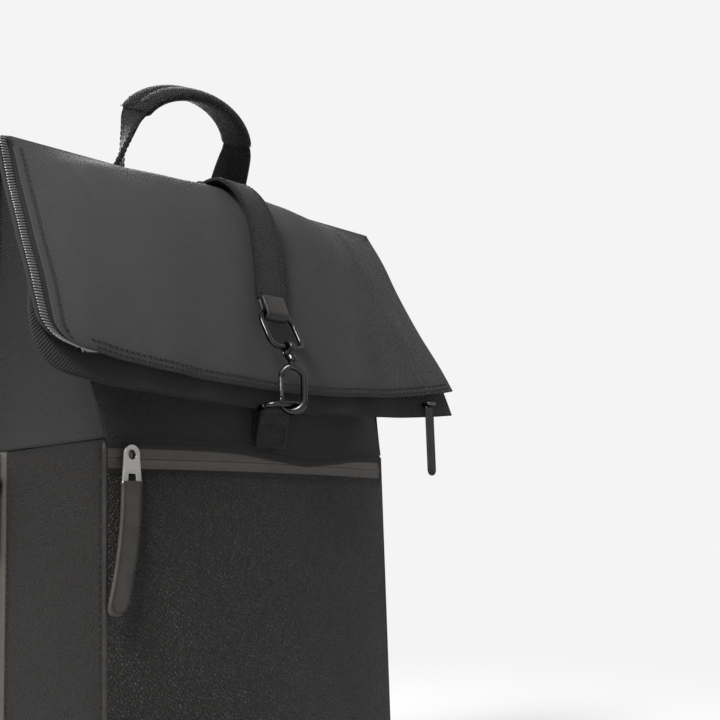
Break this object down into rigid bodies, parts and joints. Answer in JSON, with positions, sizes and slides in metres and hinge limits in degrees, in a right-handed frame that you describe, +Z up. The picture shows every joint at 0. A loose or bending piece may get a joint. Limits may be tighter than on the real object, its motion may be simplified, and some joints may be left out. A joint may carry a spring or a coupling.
{
  "type": "backpack",
  "caption": "Fold-over backpack in black leather and twill, its zipped fold hooked down on the front, with a zip pocket, side laptop zip, handle and padded straps.",
  "frame": {"origin": "middle of the flat base's underside", "axes": "+Z up, -Y out of the front pocket, +X to the right of someone facing the front"},
  "size_m": [0.418, 0.2649, 0.586],
  "materials": {
    "black_leather": "pebbled grain, soft sheen",
    "black_twill": "coated twill, matte",
    "zip_tape": "coated zip tape, satin",
    "gunmetal": "black lacquered zinc, semi-gloss",
    "nickel": "brushed light nickel",
    "foam_mesh": "spacer mesh over foam",
    "stiffener": "matte board",
    "webbing": "woven webbing",
    "black_acetal": "moulded, satin"
  },
  "bodies": {
    "bag": {"bottom_panel": "black_leather", "base_board": "stiffener", "front_pocket_panel": "black_leather", "front_inner_wall": "black_twill", "front_zip_tape": "zip_tape", "front_zip_coil": "zip_tape", "side_panel_left": "black_leather", "side_panel_right": "black_leather", "rear_gusset_left": "black_leather", "rear_gusset_right": "black_leather", "side_zip_tape": "zip_tape", "side_zip_coil": "zip_tape", "back_panel": "black_twill", "laptop_divider": "foam_mesh", "back_pad_lower": "foam_mesh", "back_pad_upper": "foam_mesh", "front_yoke": "black_twill", "top_panel": "black_twill", "side_gusset_left": "black_twill", "side_gusset_right": "black_twill", "strap_anchor": "black_leather", "handle_foot_left": "black_leather", "handle_foot_right": "black_leather", "ring_tab": "black_leather", "left_upper_tab": "black_leather", "right_upper_tab": "black_leather", "left_lower_tab": "black_leather", "right_lower_tab": "black_leather"},
    "d_ring": {"d_ring": "gunmetal"},
    "flap": {"flap_outer": "black_twill", "flap_inner": "black_twill", "mouth_zip_tape": "zip_tape", "mouth_zip_coil": "zip_tape", "closure_strap": "black_leather", "strap_loop": "black_leather"},
    "oval_ring": {"oval_ring": "gunmetal"},
    "hook_swivel": {"hook_swivel": "gunmetal"},
    "snap_hook": {"snap_hook": "gunmetal"},
    "hook_gate": {"hook_gate": "nickel"},
    "front_slider": {"front_zip_slider": "gunmetal"},
    "front_tab": {"front_zip_tab": "nickel"},
    "front_pull": {"front_zip_pull": "black_leather"},
    "mouth_slider": {"mouth_zip_slider": "gunmetal"},
    "mouth_pull": {"mouth_zip_pull": "black_leather"},
    "side_slider": {"side_zip_slider": "gunmetal"},
    "side_pull": {"side_zip_pull": "black_leather"},
    "handle": {"handle_band_left": "black_leather", "handle_band_right": "black_leather", "handle_grip": "black_leather"},
    "left_strap": {"left_strap_pad": "foam_mesh", "left_ladder_lock": "black_acetal", "left_webbing": "webbing"},
    "right_strap": {"right_strap_pad": "foam_mesh", "right_ladder_lock": "black_acetal", "right_webbing": "webbing"}
  },
  "joints": [
    {"name": "flap_fold", "type": "hinge", "parent": "bag", "child": "flap", "pos_m": [0, -0.018, 0.4915], "axis": [-1, 0, 0], "range_deg": [0, 120]},
    {"name": "d_ring_swing", "type": "hinge", "parent": "bag", "child": "d_ring", "pos_m": [-0.008, -0.0851, 0.3095], "axis": [-1, 0, 0], "range_deg": [0, 8]},
    {"name": "oval_ring_swing", "type": "hinge", "parent": "flap", "child": "oval_ring", "pos_m": [-0.008, -0.0905, 0.3803], "axis": [-1, 0, 0], "range_deg": [0, 90]},
    {"name": "swivel_swing", "type": "hinge", "parent": "oval_ring", "child": "hook_swivel", "pos_m": [-0.008, -0.1035, 0.3543], "axis": [-1, 0, 0], "range_deg": [0, 120]},
    {"name": "hook_turn", "type": "hinge", "parent": "hook_swivel", "child": "snap_hook", "pos_m": [-0.008, -0.1068, 0.3443], "axis": [0, 0, 1], "range_deg": [-80, 5]},
    {"name": "gate_press", "type": "hinge", "parent": "snap_hook", "child": "hook_gate", "pos_m": [-0.0133, -0.10048, 0.3331], "axis": [-0.766, -0.6428, 0], "range_deg": [0, 25], "stiffness_Nm_per_rad": 0.02},
    {"name": "front_zip_run", "type": "hinge", "parent": "bag", "child": "front_slider", "pos_m": [0, 0.61444, 0.272], "axis": [0, 0, 1], "range_deg": [0, 21.4]},
    {"name": "front_tab_swing", "type": "hinge", "parent": "front_slider", "child": "front_tab", "pos_m": [-0.13, -0.07423, 0.2805], "axis": [-1, 0, 0], "range_deg": [0, 100]},
    {"name": "front_pull_swing", "type": "hinge", "parent": "front_tab", "child": "front_pull", "pos_m": [-0.13, -0.07423, 0.2531], "axis": [-1, 0, 0], "range_deg": [0, 80]},
    {"name": "mouth_zip_run", "type": "hinge", "parent": "flap", "child": "mouth_slider", "pos_m": [0, -0.2635, 1.67403], "axis": [0, 0.9923, 0.124], "range_deg": [0, 13.25]},
    {"name": "mouth_pull_swing", "type": "hinge", "parent": "mouth_slider", "child": "mouth_pull", "pos_m": [0.17615, -0.09392, 0.32373], "axis": [-1, 0, 0], "range_deg": [0, 90]},
    {"name": "side_zip_run", "type": "slide", "parent": "bag", "child": "side_slider", "axis": [0, 0, -1], "range_m": [0, 0.235]},
    {"name": "side_pull_swing", "type": "hinge", "parent": "side_slider", "child": "side_pull", "pos_m": [-0.1506, 0.0525, 0.262], "axis": [0, 1, 0], "range_deg": [0, 90]},
    {"name": "handle_fold", "type": "hinge", "parent": "bag", "child": "handle", "pos_m": [0, 0.04281, 0.47026], "axis": [-1, 0, 0], "range_deg": [0, 100], "stiffness_Nm_per_rad": 0.4},
    {"name": "left_strap_swing", "type": "hinge", "parent": "bag", "child": "left_strap", "pos_m": [-0.05, 0.0965, 0.38], "axis": [0.2037, 0, 0.979], "range_deg": [-15, 35], "stiffness_Nm_per_rad": 0.2},
    {"name": "right_strap_swing", "type": "hinge", "parent": "bag", "child": "right_strap", "pos_m": [0.05, 0.0965, 0.38], "axis": [0.2037, 0, -0.979], "range_deg": [-15, 35], "stiffness_Nm_per_rad": 0.2}
  ]
}
